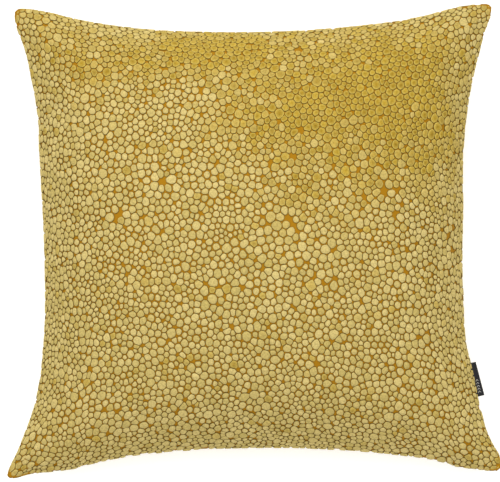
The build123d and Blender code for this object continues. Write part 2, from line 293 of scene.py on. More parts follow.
def sample(grid, u, v):
    """Values of a grid at u and v from 0 to 1, between its points."""
    columns, rows = grid.shape[0] - 1, grid.shape[1] - 1
    x = np.clip(u, 0, 1) * columns
    y = np.clip(v, 0, 1) * rows
    i = np.minimum(x.astype(int), columns - 1)
    j = np.minimum(y.astype(int), rows - 1)
    fx = (x - i)[..., None]
    fy = (y - j)[..., None]
    low = grid[i, j] * (1 - fx) + grid[i + 1, j] * fx
    high = grid[i, j + 1] * (1 - fx) + grid[i + 1, j + 1] * fx
    return low * (1 - fy) + high * fy


def shape_corners(grid, side):
    """Grid with blunt corner tips and the small folds that fan in from them."""
    places = np.linspace(-1, 1, grid.shape[0])
    x, y = np.meshgrid(places, places, indexing="ij")
    blunt = CORNER_BLUNT * np.abs(x * y) ** BLUNT_POWER
    grid = grid - np.stack([np.sign(x) * blunt, np.sign(y) * blunt, 0 * blunt], axis=-1)
    lift = np.zeros(x.shape)
    for (corner_x, corner_y), height, phase in PUCKERS:
        across = np.abs(x - corner_x)
        up = np.abs(y - corner_y)
        far = np.hypot(across, up)
        fade = np.exp(-((far - PUCKER_PLACE) / PUCKER_SPREAD) ** 2)
        fade = fade * np.clip(np.minimum(across, up) / PUCKER_FADE, 0, 1)
        lift += height * fade * np.cos(PUCKER_TURNS * np.arctan2(up, across) + phase)
    return grid + normals(grid, side) * lift[..., None]


# ---------------------------------------------------------------- cloth simulation

INFLATE_FRAMES = 20
MOST_SWELL = 7 * MM


def inflate(front, back, edge):
    """Blows the two panels up against their pinned seams, and returns the swollen grids."""
    count = front.shape[0] * front.shape[1]
    points = np.concatenate([front.reshape(-1, 3), back.reshape(-1, 3)])
    faces = [grid_faces(*front.shape[:2]), grid_faces(*back.shape[:2], count, True)]
    cover = new_mesh("inflating_cover", points, faces)
    pinned = np.concatenate([edge.ravel(), edge.ravel()])
    group = cover.vertex_groups.new(name="seams")
    group.add([int(i) for i in np.nonzero(pinned)[0]], 1.0, "REPLACE")
    cloth = cover.modifiers.new("cloth", "CLOTH")
    settings = cloth.settings
    settings.vertex_group_mass = "seams"
    settings.quality = 6
    settings.mass = 0.3
    settings.tension_stiffness = 25
    settings.compression_stiffness = 12
    settings.shear_stiffness = 8
    settings.bending_stiffness = 0.6
    settings.use_pressure = True
    settings.uniform_pressure_force = 4
    settings.shrink_min = -0.003
    settings.effector_weights.gravity = 0
    cloth.point_cache.frame_start = 1
    cloth.point_cache.frame_end = INFLATE_FRAMES
    scene = bpy.context.scene
    for number in range(1, INFLATE_FRAMES + 1):
        scene.frame_set(number)
    result = cover.evaluated_get(bpy.context.evaluated_depsgraph_get()).data
    swollen = np.zeros(len(points) * 3, np.float32)
    result.vertices.foreach_get("co", swollen)
    swollen = swollen.reshape(-1, 3).astype(float)
    scene.frame_set(1)
    bpy.data.objects.remove(cover)
    move = swollen - points
    size = np.linalg.norm(move, axis=1, keepdims=True)
    move *= np.minimum(1, MOST_SWELL / np.maximum(size, 1e-9))
    swollen = points + move
    print("swell: most", round(float(size.max()) * 1000, 1), "mean", round(float(size.mean()) * 1000, 1))
    return swollen[:count].reshape(front.shape), swollen[count:].reshape(back.shape)


# ---------------------------------------------------------------- pebbles of pile

def neighbours(points):
    """Pairs of points that share a side of their Delaunay triangles."""
    flat = [Vector(point) for point in points.tolist()]
    result = geometry.delaunay_2d_cdt(flat, [], [], 0, 1e-9)
    pairs = np.array([edge[:] for edge in result[1]])
    return pairs[(pairs < len(points)).all(axis=1)]


def lowest_of_neighbours(values, a, b):
    """Which points have a lower value than all their neighbours, so that no two of them touch."""
    lowest = np.ones(len(values), bool)
    lowest[a[values[a] > values[b]]] = False
    lowest[b[values[b] > values[a]]] = False
    return lowest


def pebble_layout(rng):
    """Middles and radii of the pebbles and bare spots of a panel's cut, pushed apart by their sizes."""
    size = np.array([CUT, CUT / TALLER])
    low, high = -OVERRUN, size + OVERRUN
    count = int(np.prod(high - low) * TALLER / SPACING ** 2)
    middles = low + rng.random((count, 2)) * (high - low)
    corners = np.array([(0, 0), (1, 0), (0, 1), (1, 1)])
    pinned = corners * size + (0.5 - corners) * 2 * CORNER_PEBBLE
    spread = np.clip(rng.normal(0, 0.17, count), -0.35, 0.45)
    radii = SPACING / 2 / math.sqrt(TALLER) * np.exp(spread)
    bare = np.zeros(count, bool)
    for step in range(LAYOUT_STEPS):
        pairs = neighbours(middles)
        a, b = pairs[:, 0], pairs[:, 1]
        if step == BARE_STEP:
            bare = lowest_of_neighbours(rng.random(count), a, b) & (rng.random(count) < BARE_SHARE)
            bare[:4] = False
            radii[bare] = BARE_RADIUS
        gap = middles[b] - middles[a]
        far = np.maximum(np.linalg.norm(gap, axis=1, keepdims=True), 1e-9)
        wanted = (radii[a] + radii[b])[:, None] * 1.06
        push = gap / far * np.clip(wanted - far, -0.3 * wanted, wanted) * PUSH
        np.add.at(middles, a, -push)
        np.add.at(middles, b, push)
        middles = np.clip(middles, low, high)
        middles[:4] = pinned
    return middles, radii, bare


def pebble_outlines(rng, middles, radii, bare, tightness):
    """Distance from each middle to its pebble's edge in SIDES directions, short of its neighbours."""
    count = len(middles)
    pairs = neighbours(middles)
    both = np.concatenate([pairs, pairs[:, ::-1]])
    both = both[np.argsort(both[:, 0], kind="stable")]
    a, b = both[:, 0], both[:, 1]
    turn = rng.random(count) * math.tau
    angles = turn[:, None] + np.arange(SIDES) / SIDES * math.tau
    gap = middles[b] - middles[a]
    far = np.maximum(np.linalg.norm(gap, axis=1), 1e-9)
    border = np.where(bare[b], far - BARE_RADIUS, (far ** 2 + radii[a] ** 2 - radii[b] ** 2) / (2 * far))
    heading = np.arctan2(gap[:, 1], gap[:, 0])
    facing = np.cos(angles[a] - heading[:, None])
    clear = (border - 0.03 * MM) * tightness[a]
    reach = np.where(facing > 0.08, clear[:, None] / np.maximum(facing, 0.08), 1)
    edge = np.full((count, SIDES), 1.0)
    np.minimum.at(edge, a, reach)
    edge = np.minimum(edge, radii[:, None] * 1.6)
    edge = 0.8 * edge + 0.1 * (np.roll(edge, 1, axis=1) + np.roll(edge, -1, axis=1))
    edge = np.maximum(edge, CLOSEST)
    return angles, edge


def brushed_and_painted_sheen(u, v, rng):
    """Where the front's pile was brushed the other way, from 0 to 1: there the pebbles lean, lie tighter and sit
    lower, and the material paints the brushed pile's sheen as a more golden colour.
    """
    x = (u - 0.5) * 2
    y = (v - 0.5) * 2
    wave = 0.10 * np.sin(9 * x + 3 * y) + 0.08 * np.sin(14 * y - 5 * x + 1)
    wave = wave + 0.06 * np.sin(23 * x + 17 * y)
    main = np.exp(-(((x - 0.46) / 0.60) ** 2 + ((y - 0.58) / 0.44) ** 2))
    upper = 0.85 * np.exp(-(((x + 0.10) / 0.90) ** 2 + ((y - 0.82) / 0.22) ** 2))
    strength = 1.15 * np.maximum(main, upper) + wave + 0.16 * rng.standard_normal(len(x))
    strays = (rng.random(len(x)) < 0.06) * rng.uniform(0.3, 0.8, len(x))
    tips = 0.8 * np.exp(-(((1 - np.abs(x)) ** 2 + (1 - np.abs(y)) ** 2) / 0.06 ** 2))
    return np.maximum(np.clip((strength - 0.30) / 0.60, 0, 1), np.maximum(strays, tips))


# Rings of a pebble: share of its outline, inset from it, share of the pile's height, and rim value, which the
# material turns into painted shade down the walls and, where the pile is brushed, painted pale rims
RINGS = [(1.0, 0.0, -0.15, 1.0), (1.0, 0.40 * MM, 0.74, 0.55), (0.76, 0.17 * MM, 0.98, 0.2)]


def pile(name, grid, side, seed):
    """The pebbles of one panel, as a left and a right piece."""
    rng = np.random.default_rng(seed)
    middles, radii, bare = pebble_layout(rng)
    count = len(middles)
    u = middles[:, 0] / CUT
    v = middles[:, 1] * TALLER / CUT
    # Where the pile is brushed the pebbles lean and lie tighter, and the material paints them a more golden sheen.
    golden = brushed_and_painted_sheen(u, v, rng) if side > 0 else np.zeros(count)
    tightness = rng.choice([1.0, 0.95, 0.86], count, p=[0.7, 0.18, 0.12])
    tightness += (1 - tightness) * 0.8 * golden
    angles, edge = pebble_outlines(rng, middles, radii, bare, tightness)
    height = PILE * (1 + 0.10 * rng.standard_normal(count)) * (1 - 0.12 * golden)
    lean = rng.normal(0, 0.10, (count, 2)) * MM
    lean += golden[:, None] * np.array([0.25, 0.35]) * MM
    shade = rng.random(count)
    margin = EDGE_REACH / CUT
    keep = ~bare & (np.abs(u - 0.5) < 0.5 + margin) & (np.abs(v - 0.5) < 0.5 + margin)
    normal_grid = normals(grid, side)
    pieces = []
    for half, chosen in (("left", keep & (u < 0.5)), ("right", keep & (u >= 0.5))):
        pick = np.nonzero(chosen)[0]
        many = len(pick)
        points, uv, rim = [], [], []
        for share, inset, lift, rim_value in RINGS:
            reach = edge[pick] * share - inset
            x = middles[pick, 0:1] + np.cos(angles[pick]) * reach
            y = (middles[pick, 1:2] + np.sin(angles[pick]) * reach) * TALLER
            leaning = lean[pick] * max(lift, 0)
            place, flat = raise_pebbles(grid, normal_grid, x, y, height[pick] * lift, leaning)
            points.append(place)
            uv.append(flat)
            rim.append(np.full((many, SIDES), rim_value))
        x = middles[pick, 0:1]
        y = middles[pick, 1:2] * TALLER
        place, flat = raise_pebbles(grid, normal_grid, x, y, height[pick] * 1.02, lean[pick])
        points.append(place)
        uv.append(flat)
        rim.append(np.zeros((many, 1)))
        all_points = np.concatenate(points, axis=1)
        per = all_points.shape[1]
        faces = pebble_faces(many, per, side)
        flat_uv = np.concatenate(uv, axis=1).reshape(-1, 2)
        flat_uv[:, 0] = (flat_uv[:, 0] - (0.0 if half == "left" else 0.5)) * 2
        piece = new_mesh(f"{name}_{half}", all_points.reshape(-1, 3), faces, np.clip(flat_uv, 0, 1))
        # rim carries the painted shade of the walls and the painted pale rims; golden carries the brushed pile's
        # painted sheen.
        add_attribute(piece, "rim", np.concatenate(rim, axis=1).ravel())
        add_attribute(piece, "shade", np.repeat(shade[pick], per))
        add_attribute(piece, "golden", np.repeat(golden[pick], per))
        pieces.append(piece)
    return pieces


def raise_pebbles(grid, normal_grid, x, y, lift, lean):
    """Points at flat-cut places x and y, lifted off the cloth and leaning, and their flat places."""
    flat = np.stack([(x + lean[:, 0:1]) / CUT, (y + lean[:, 1:2]) / CUT], axis=-1)
    point = sample(grid, flat[..., 0], flat[..., 1])
    normal = sample(normal_grid, flat[..., 0], flat[..., 1])
    place = point + normal * lift[:, None, None]
    place[..., 2] = np.maximum(place[..., 2], 0.05 * MM)
    return place, flat


def pebble_faces(many, per, side):
    """Faces of all pebbles: rings of quads and a fan at the top."""
    k = np.arange(SIDES)
    after = (k + 1) % SIDES
    quads = []
    for ring in range(len(RINGS) - 1):
        low = ring * SIDES
        high = low + SIDES
        quads.append(np.stack([low + k, low + after, high + after, high + k], axis=-1))
    quads = np.concatenate(quads)
    top = (len(RINGS) - 1) * SIDES
    fan = np.stack([top + k, top + after, np.full(SIDES, len(RINGS) * SIDES)], axis=-1)
    if side < 0:
        quads = quads[:, ::-1]
        fan = fan[:, ::-1]
    base = (np.arange(many) * per)[:, None, None]
    return [(quads[None] + base).reshape(-1, 4), (fan[None] + base).reshape(-1, 3)]


# ---------------------------------------------------------------- panels

def panel_piece(name, grid, side):
    """Closed shell of ground cloth under the pile, with the flat-cut layout as its UVs."""
    inner = grid - normals(grid, side) * CLOTH
    columns, rows = grid.shape[:2]
    count = columns * rows
    rim = rim_quads(columns, rows)
    if side < 0:
        rim = rim[:, ::-1]
    faces = [grid_faces(columns, rows, 0, side < 0), grid_faces(columns, rows, count, side > 0), rim]
    u, v = np.meshgrid(np.linspace(0, 1, columns), np.linspace(0, 1, rows), indexing="ij")
    flat = np.stack([u, v], axis=-1).reshape(-1, 2)
    uv = np.concatenate([flat * 0.8, flat * 0.18 + [0.82, 0]])
    points = np.concatenate([grid.reshape(-1, 3), inner.reshape(-1, 3)])
    return new_mesh(name, points, faces, uv)


GRID_SIDES = (np.s_[0, :], np.s_[-1, :], np.s_[:, 0], np.s_[:, -1])


def closed_body(name, front, back, inset, ripple, seed):
    """Closed pad-shaped form: both grids drawn in together, with soft lumps."""
    middle = np.array([0, 0, SEAM_Z])
    scale = np.array([1 - inset / HALF_HEIGHT, 1 - inset / HALF_HEIGHT, 1])
    rng = np.random.default_rng(seed)
    waves = rng.uniform(15, 60, (9, 2))
    phases = rng.random(9) * math.tau
    sheets = []
    for grid, side in ((front, 1), (back, -1)):
        points = (grid - middle) * scale + middle
        depth = points[..., 2] - SEAM_Z
        shrink = 1 - np.minimum(np.abs(depth), 2.6 * MM) / np.maximum(np.abs(depth), 1e-6)
        points[..., 2] = SEAM_Z + depth * shrink
        x, y = points[..., 0], points[..., 1]
        lumps = sum(np.sin(x * wave[0] + y * wave[1] + phase) for wave, phase in zip(waves, phases))
        fade = np.clip(np.abs(depth) / (20 * MM), 0, 1)
        points = points - normals(points, side) * (ripple * (1 + lumps / 9) * fade)[..., None]
        sheets.append(points)
    top, bottom = sheets
    columns, rows = top.shape[:2]
    for sheet in sheets:
        for where in GRID_SIDES:
            sheet[where][..., 2] = SEAM_Z
    for where in GRID_SIDES:
        bottom[where] = top[where]
    count = columns * rows
    number = np.arange(count).reshape(columns, rows)
    lower = number + count
    for where in GRID_SIDES:
        lower[where] = number[where]
    quads = grid_faces(columns, rows)
    under = lower.ravel()[grid_faces(columns, rows, 0, True)]
    points = np.concatenate([top.reshape(-1, 3), bottom.reshape(-1, 3)])
    used, packed = np.unique(np.concatenate([quads, under]), return_inverse=True)
    return new_mesh(name, points[used], [packed.reshape(-1, 4)])


# ---------------------------------------------------------------- zip and trimmings

def along_seam(station, depth, height):
    """Point at a station along the bottom seam, a depth inside it and a height off its plane."""
    angle = station / ZIP_RADIUS
    radius = ZIP_RADIUS + depth
    x = ZIP_CENTRE.x + radius * np.sin(angle)
    y = ZIP_CENTRE.y + radius * np.cos(angle)
    return np.stack([x, y, SEAM_Z + height + 0 * x], axis=-1)


def sweep_quads(count, sides):
    """Quads between the sections of a strip, one array for each step along it."""
    k = np.arange(sides)
    after = (k + 1) % sides
    quads = []
    for i in range(count - 1):
        low, high = i * sides, (i + 1) * sides
        quads.append(np.stack([low + k, low + after, high + after, high + k], -1))
    return quads


def seam_strip(name, stations, depths, heights):
    """Closed strip along the bottom seam; depths and heights are its section, one row per station."""
    points = along_seam(stations[:, None], depths, heights)
    count, sides = depths.shape
    quads = np.concatenate(sweep_quads(count, sides))
    k = np.arange(sides)
    ends = [k[None, ::-1], (k + (count - 1) * sides)[None]]
    return new_mesh(name, points.reshape(-1, 3), [quads, *ends])


def slab_section(path, thickness):
    """Closed section of a strip of cloth that follows a path of (depth, height) points."""
    path = np.array(path, float)
    step = np.gradient(path, axis=0)
    step /= np.linalg.norm(step, axis=1, keepdims=True)
    across = np.stack([-step[:, 1], step[:, 0]], axis=1) * thickness / 2
    return np.concatenate([path + across, (path - across)[::-1]])


def zip_facing(name, side, crown):
    """Cloth turned in at the slot and up along the zip's tape."""
    stations = np.linspace(-SLOT_HALF - SLOT_FADE * 0.6, SLOT_HALF + SLOT_FADE * 0.6, 121)
    depths, heights = [], []
    for station in stations:
        share = (station + ZIP_CENTRE.x) / HALF_WIDTH
        lip = float(lip_height(np.array(station + ZIP_CENTRE.x)))
        place = place_at_height(lip / (crown * profile(share)))
        start = (1 - place) * (HALF_HEIGHT - BOTTOM_PINCH * (1 - share ** 2)) + 1.7 * MM
        turn = [(start, 0.9), (start + 0.5 * MM, 0.35), (start + 1.2 * MM, 0.15)]
        path = [(d, lip + h * MM) for d, h in turn]
        path += [(4.3 * MM, lip + 0.1 * MM), (5.0 * MM, lip + 0.5 * MM), (5.3 * MM, lip + 1.4 * MM)]
        path += [(5.3 * MM, lip + 3.2 * MM)]
        section = slab_section(path, 0.6 * MM)
        depths.append(section[:, 0])
        heights.append(section[:, 1] * side)
    return seam_strip(name, stations, np.array(depths), np.array(heights))


def zip_tape(name, side):
    """Woven tape with a thicker beaded edge beside the teeth."""
    stations = np.linspace(-TAPE_HALF, TAPE_HALF, 141)
    path = [(CHAIN_DEPTH, height * MM) for height in (2.45, 3.1, 4.2, 6.0)]
    section = slab_section(path, 0.5 * MM)
    bead = np.abs(section[:, 1]) < 3.3 * MM
    section[bead, 0] += np.sign(section[bead, 0] - CHAIN_DEPTH) * 0.12 * MM
    depths = np.repeat(section[None, :, 0], len(stations), axis=0)
    beyond = np.maximum(CHAIN_START - 3 * MM - stations, stations - CHAIN_END - 8 * MM)
    low_edge = np.clip((6.0 * MM - section[:, 1]) / (3.5 * MM), 0, 1)
    meeting = np.clip(beyond / (6 * MM), 0, 1)[:, None] * low_edge
    heights = (section[:, 1] - meeting * 2.2 * MM) * side
    return seam_strip(name, stations, depths, heights)


def zip_teeth(name, side):
    """Row of moulded teeth: a rounded head past the middle, a waist and a foot on the tape."""
    offset = 0 if side > 0 else TOOTH_PITCH / 2
    ring = [(-0.85, 0.30), (-0.55, 0.55), (0.1, 0.62), (0.8, 0.45), (1.5, 0.5), (2.2, 0.62), (2.4, 0.55)]
    points, faces, fans = [], [], []
    base = 0
    station = CHAIN_START + offset
    sides = 8
    while station < CHAIN_END:
        for height, half in ring:
            for k in range(sides):
                angle = (k + 0.5) / sides * math.tau
                square = max(abs(math.cos(angle)), abs(math.sin(angle))) ** -0.6
                along = math.cos(angle) * half * 1.03 * square * MM
                deep = math.sin(angle) * (0.95 if height < 2.3 else 0.85) * square * MM
                points.append((station + along, CHAIN_DEPTH + deep, height * side * MM))
        for level in range(len(ring) - 1):
            for k in range(sides):
                a = base + level * sides + k
                b = base + level * sides + (k + 1) % sides
                faces.append((a, b, b + sides, a + sides) if side > 0 else (a + sides, b + sides, b, a))
        low = [base + k for k in range(sides)]
        high = [base + (len(ring) - 1) * sides + k for k in range(sides)]
        fans.append(low[::-1] if side > 0 else low)
        fans.append(high if side > 0 else high[::-1])
        base += len(ring) * sides
        station += TOOTH_PITCH
    table = np.array(points)
    placed = along_seam(table[:, 0], table[:, 1], table[:, 2])
    return new_mesh(name, placed, [np.array(faces), np.array(fans)])


def label_frame():
    """Place on the right-hand seam where the label is sewn in, and its outward and upward directions."""
    middle_y = (LABEL_LOW.y + LABEL_HIGH.y) / 2
    place = (middle_y - TILT) / HALF_HEIGHT
    seam = crown_point(np.array([1.0, 1.0]), place + np.array([-0.01, 0.01]), 1)
    along = seam[1] - seam[0]
    along /= np.linalg.norm(along)
    out = np.array([along[1], -along[0], 0])
    return seam.mean(axis=0), out, along


def label_point(across, along, off):
    """Point of the label: across outward from the seam, along it, and off its middle plane."""
    origin, out, up = label_frame()
    bend = 0.06 * across * np.abs(across) / MM
    lean = across * (1 - 0.010 * along / MM)
    twist = 0.03 * across * along / (10 * MM)
    height = off - bend + twist
    return origin + lean[:, None] * out + along[:, None] * up + height[:, None] * np.array([0, 0, 1])


def woven_label():
    """Black tape folded in two and sewn into the right-hand seam, with a raised generic motif."""
    leaf, gap, showing, hidden = 0.42 * MM, 0.36 * MM, 6.2 * MM, 6 * MM
    turn = np.linspace(math.pi / 2, -math.pi / 2, 9)
    round_off = (leaf + gap) / 2
    straight = np.linspace(-hidden, showing - leaf - gap / 2, 12)
    path = [(x, round_off) for x in straight]
    path += [(straight[-1] + round_off * math.cos(a), round_off * math.sin(a)) for a in turn[1:-1]]
    path += [(x, -round_off) for x in straight[::-1]]
    section = slab_section(path, leaf)
    stations = np.linspace(-16, 16, 33) * MM
    sides = len(section)
    points, motif = [], []
    for station in stations:
        points.append(label_point(section[:, 0], np.full(sides, station), section[:, 1]))
        motif.append(np.zeros(sides))
    quads = sweep_quads(len(stations), sides)
    half = sides // 2
    inner = np.arange(half - 1)
    cap = np.stack([inner, inner + 1, sides - 2 - inner, sides - 1 - inner], -1)
    last = (len(stations) - 1) * sides
    quads += [cap[:, ::-1], cap + last]
    for chevron in range(5):
        start = (-12.6 + 2.7 * chevron) * MM
        for slant in (1, -1):
            points.append(motif_bar(start, slant))
            motif.append(np.ones(8))
            base = sum(len(p) for p in points) - 8
            box = np.array([(0, 1, 2, 3), (7, 6, 5, 4), (0, 4, 5, 1),
                            (1, 5, 6, 2), (2, 6, 7, 3), (3, 7, 4, 0)])
            quads.append(box[:, ::-1] + base)
    piece = new_mesh("label_tape", np.concatenate(points), [np.concatenate(quads)])
    add_attribute(piece, "motif", np.concatenate(motif))
    return piece


def motif_bar(start, slant):
    """Corners of one raised stroke of the label's motif."""
    middle = 2.8 * MM
    reach, width, top, root = 1.3 * MM, 0.6 * MM, 0.78 * MM, 0.5 * MM
    far = start + 1.5 * MM
    corners = [(middle, far - width / 2), (middle + slant * reach, start - width / 2),
               (middle + slant * reach, start + width / 2), (middle, far + width / 2)]
    across = np.array([c[0] for c in corners] * 2)
    along = np.array([c[1] for c in corners] * 2)
    off = np.array([root] * 4 + [top] * 4)
    if slant < 0:
        order = [3, 2, 1, 0, 7, 6, 5, 4]
        across, along = across[order], along[order]
    return label_point(across, along, off)


def care_label(back):
    """Satin tape lying against the inside of the back panel, near its lower right-hand corner."""
    middle_u, middle_v, wide, long = 0.77, 0.24, 28 * MM, 46 * MM
    a, b = np.meshgrid(np.linspace(-0.5, 0.5, 15), np.linspace(-0.5, 0.5, 25), indexing="ij")
    turn = math.radians(45)
    du = (a * wide * math.cos(turn) - b * long * math.sin(turn)) / CUT
    dv = (a * wide * math.sin(turn) + b * long * math.cos(turn)) / CUT
    place = sample(back, middle_u + du, middle_v + dv)
    normal = sample(normals(back, -1), middle_u + du, middle_v + dv)
    ripple = 0.12 * MM * np.sin(b * 19) * np.sin(a * 7 + 1)
    outer = place - normal * (CLOTH + 0.3 * MM + ripple)[..., None]
    inner = outer - normal * 0.3 * MM
    columns, rows = a.shape
    count = columns * rows
    rim = rim_quads(columns, rows)[:, ::-1]
    faces = [grid_faces(columns, rows, 0, True), grid_faces(columns, rows, count, False), rim]
    return new_mesh("care_tape", np.concatenate([outer.reshape(-1, 3), inner.reshape(-1, 3)]), faces)


# ---------------------------------------------------------------- materials

class Nodes:
    """Small wrapper that adds and links shader nodes."""

    def __init__(self, name):
        self.material = bpy.data.materials.new(name)
        self.material.use_nodes = True
        self.tree = self.material.node_tree
        self.shader = self.tree.nodes["Principled BSDF"]

    def add(self, kind, **values):
        node = self.tree.nodes.new("ShaderNode" + kind)
        for key, value in values.items():
            if hasattr(node, key):
                setattr(node, key, value)
            else:
                node.inputs[key.replace("_", " ")].default_value = value
        return node

    def link(self, output, target):
        self.tree.links.new(output, target)

    def mix(self, factor, first, second, blend="MIX"):
        """Colour mix of two colours or outputs."""
        node = self.add("Mix", data_type="RGBA", blend_type=blend)
        for socket, value in ((node.inputs[0], factor), (node.inputs[6], first), (node.inputs[7], second)):
            if isinstance(value, bpy.types.NodeSocket):
                self.link(value, socket)
            elif isinstance(value, (int, float)):
                socket.default_value = value
            else:
                socket.default_value = (*value, 1)
        return node.outputs[2]

    def math(self, operation, first, second=0.0, clamp=False):
        node = self.add("Math", operation=operation, use_clamp=clamp)
        for socket, value in ((node.inputs[0], first), (node.inputs[1], second)):
            if isinstance(value, bpy.types.NodeSocket):
                self.link(value, socket)
            else:
                socket.default_value = value
        return node.outputs[0]

    def ramp(self, value, *stops):
        """Colour that passes through stops of a place and a colour."""
        node = self.add("ValToRGB")
        self.link(value, node.inputs[0])
        for element, (place, colour) in zip(node.color_ramp.elements, stops):
            element.position = place
            element.color = (*colour, 1)
        return node.outputs[0]

    def attribute(self, name):
        return self.add("Attribute", attribute_name=name).outputs["Fac"]

    def noise(self, scale, detail=2.0):
        coordinates = self.add("TexCoord").outputs["Object"]
        node = self.add("TexNoise", Scale=scale, Detail=detail)
        self.link(coordinates, node.inputs["Vector"])
        return node.outputs["Fac"]

    def bump(self, height, strength, distance):
        node = self.add("Bump", Strength=strength, Distance=distance)
        self.link(height, node.inputs["Height"])
        self.link(node.outputs[0], self.shader.inputs["Normal"])

    def finish(self, roughness, sheen=0.0, metallic=0.0, specular=0.5, sheen_tint=(1, 1, 1)):
        self.shader.inputs["Roughness"].default_value = roughness
        self.shader.inputs["Metallic"].default_value = metallic
        self.shader.inputs["Specular IOR Level"].default_value = specular
        self.shader.inputs["Sheen Weight"].default_value = sheen
        self.shader.inputs["Sheen Roughness"].default_value = 0.4
        self.shader.inputs["Sheen Tint"].default_value = (*sheen_tint, 1)
        return self.material


def linear(red, green, blue):
    """Scene colour of an 8-bit display colour."""
    values = []
    for value in (red, green, blue):
        share = value / 255
        values.append(share / 12.92 if share <= 0.04045 else ((share + 0.055) / 1.055) ** 2.4)
    return tuple(values)


def pile_material():
    """Cut pile: pale gold tops with painted shade down their sides, and where the pile is brushed, painted sheen
    and shade: a more golden colour, darker centres and pale rims.
    """
    n = Nodes("cut_pile")
    rim = n.attribute("rim")
    shade = n.attribute("shade")
    golden = n.attribute("golden")
    fibre = n.noise(650, 4)
    patch = n.noise(9, 2)
    plain_top = n.mix(shade, linear(198, 177, 104), linear(218, 197, 128))
    # Painted shade: towards the base of each pebble's wall (high rim value) the colour goes to a near-black olive,
    # for the shade that falls in the narrow gaps between pebbles.
    side = n.ramp(rim, (0.48, (0, 0, 0)), (0.80, (1, 1, 1)))
    plain = n.mix(side, plain_top, linear(58, 44, 4))
    # Painted sheen and shade of the brushed pile: a darker, more golden top, painted pale rims and the same
    # painted shade down the walls.
    brushed_painted_top = n.mix(shade, linear(150, 116, 17), linear(186, 152, 46))
    edge = n.ramp(rim, (0.0, (0, 0, 0)), (0.4, (1, 1, 1)))
    brushed_painted_rims = n.mix(edge, brushed_painted_top, linear(208, 182, 88))
    brushed_painted_light = n.mix(side, brushed_painted_rims, linear(60, 42, 2))
    colour = n.mix(golden, plain, brushed_painted_light)
    warm = n.mix(n.math("MULTIPLY", patch, 0.5), colour, linear(198, 164, 76))
    colour = n.mix(0.35, colour, warm)
    speck = n.math("MULTIPLY_ADD", fibre, 1.3)
    speck.node.inputs[2].default_value = 0.33
    colour = n.mix(0.8, colour, n.mix(1.0, colour, speck_colour(n, speck), "MULTIPLY"))
    n.link(colour, n.shader.inputs["Base Color"])
    n.bump(fibre, 0.35, 0.0004)
    return n.finish(0.95, sheen=0.12, specular=0.06, sheen_tint=linear(240, 222, 160))


def speck_colour(n, value):
    """Grey colour from a number."""
    node = n.add("CombineColor")
    for socket in node.inputs[:3]:
        n.link(value, socket)
    return node.outputs[0]


def ground_material():
    """Flat ochre ground weave between the pebbles."""
    n = Nodes("ground_weave")
    coordinates = n.add("TexCoord").outputs["Object"]
    waves = []
    for direction in ("X", "Y"):
        wave = n.add("TexWave", wave_type="BANDS", bands_direction=direction, Scale=320.0, Distortion=0.6)
        n.link(coordinates, wave.inputs["Vector"])
        waves.append(wave.outputs["Fac"])
    weave = n.math("MULTIPLY", waves[0], waves[1])
    colour = n.mix(weave, linear(160, 112, 16), linear(198, 146, 36))
    colour = n.mix(n.noise(60, 3), colour, linear(180, 128, 24))
    n.link(colour, n.shader.inputs["Base Color"])
    n.bump(weave, 0.5, 0.0003)
    return n.finish(0.9, sheen=0.05, specular=0.08)


def cloth_material(name, dark, light, scale, roughness=0.85, sheen=0.1):
    """Plain woven cloth, tape or thread."""
    n = Nodes(name)
    coordinates = n.add("TexCoord").outputs["Object"]
    wave = n.add("TexWave", wave_type="BANDS", bands_direction="DIAGONAL", Scale=scale, Distortion=1.0)
    n.link(coordinates, wave.inputs["Vector"])
    colour = n.mix(wave.outputs["Fac"], dark, light)
    colour = n.mix(n.math("MULTIPLY", n.noise(scale / 6, 3), 0.4), colour, dark)
    n.link(colour, n.shader.inputs["Base Color"])
    n.bump(wave.outputs["Fac"], 0.4, 0.0002)
    return n.finish(roughness, sheen=sheen, specular=0.25)


def label_material():
    """Black satin weave with a pale motif."""
    n = Nodes("label_satin")
    coordinates = n.add("TexCoord").outputs["Object"]
    wave = n.add("TexWave", wave_type="BANDS", bands_direction="Y", Scale=900.0, Distortion=0.5)
    n.link(coordinates, wave.inputs["Vector"])
    black = n.mix(wave.outputs["Fac"], linear(14, 14, 16), linear(38, 37, 40))
    colour = n.mix(n.attribute("motif"), black, linear(196, 194, 188))
    n.link(colour, n.shader.inputs["Base Color"])
    n.bump(wave.outputs["Fac"], 0.3, 0.0001)
    return n.finish(0.6, specular=0.3)


def metal_material():
    """Light brass with faint drawn marks."""
    n = Nodes("zip_brass")
    marks = n.noise(900, 4)
    colour = n.mix(marks, linear(178, 146, 84), linear(214, 186, 122))
    n.link(colour, n.shader.inputs["Base Color"])
    n.bump(marks, 0.08, 0.0001)
    return n.finish(0.32, metallic=1.0)


def teeth_material():
    """Moulded ochre nylon."""
    n = Nodes("zip_nylon")
    colour = n.mix(n.noise(500, 3), linear(176, 132, 48), linear(206, 164, 76))
    n.link(colour, n.shader.inputs["Base Color"])
    return n.finish(0.42, specular=0.45)


# ---------------------------------------------------------------- assembly

front_grid, front_edge = ground_grid(1)
back_grid, _ = ground_grid(-1)
front_grid, back_grid = inflate(front_grid, back_grid, front_edge)
back_grid[..., 2] = np.maximum(back_grid[..., 2], PILE + 0.1 * MM)
front_grid = shape_corners(finer(front_grid), 1)
back_grid = shape_corners(finer(back_grid), -1)

PILE_CLOTH = pile_material()
GROUND = ground_material()
TAPE = cloth_material("zip_tape_weave", linear(150, 104, 26), linear(186, 138, 48), 900)
THREAD = cloth_material("thread", linear(168, 124, 40), linear(204, 162, 76), 1500)
PAD_CLOTH = cloth_material("pad_cotton", linear(222, 220, 212), linear(244, 243, 238), 700)
PAD_FIBRE = cloth_material("pad_fibre", linear(232, 232, 228), linear(250, 250, 248), 120)
LABEL_CLOTH = label_material()
CARE_CLOTH = cloth_material("care_satin", linear(228, 228, 226), linear(246, 246, 244), 1400, 0.5)
BRASS = metal_material()
NYLON = teeth_material()

